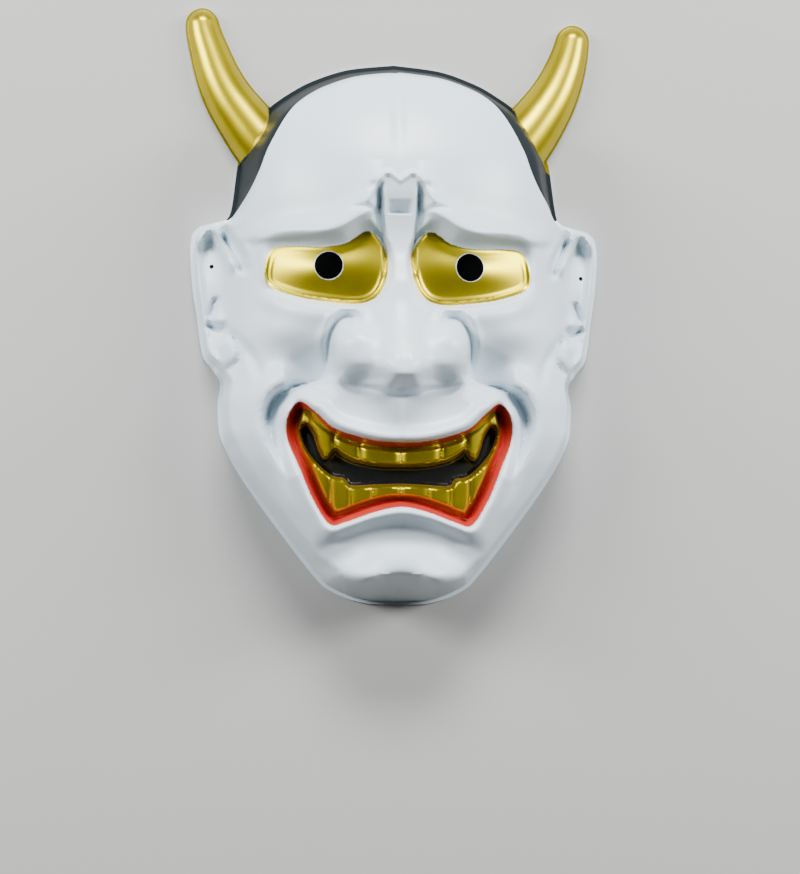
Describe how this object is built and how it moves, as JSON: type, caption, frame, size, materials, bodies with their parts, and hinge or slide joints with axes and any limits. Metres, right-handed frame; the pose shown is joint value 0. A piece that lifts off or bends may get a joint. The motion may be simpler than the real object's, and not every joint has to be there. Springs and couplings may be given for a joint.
{
  "type": "hannya mask",
  "caption": "Formed-sheet face mask of a horned hannya: scowling brow, pierced pupils, bared teeth, hollow open back and two half-round horns on a flat rim flange.",
  "frame": {"origin": "centre of the whole mask's bounding box in X and Y, on the plane that the rim flange rests on", "axes": "+X to the viewer's right across the face, +Y up the face towards the horns, +Z out of the face"},
  "size_m": [0.1896, 0.2716, 0.0824],
  "materials": {
    "shell_white": "thin white plastic sheet with a soft gloss, plain inside and out"
  },
  "bodies": {
    "root": {"mask_shell": "shell_white"}
  },
  "joints": []
}
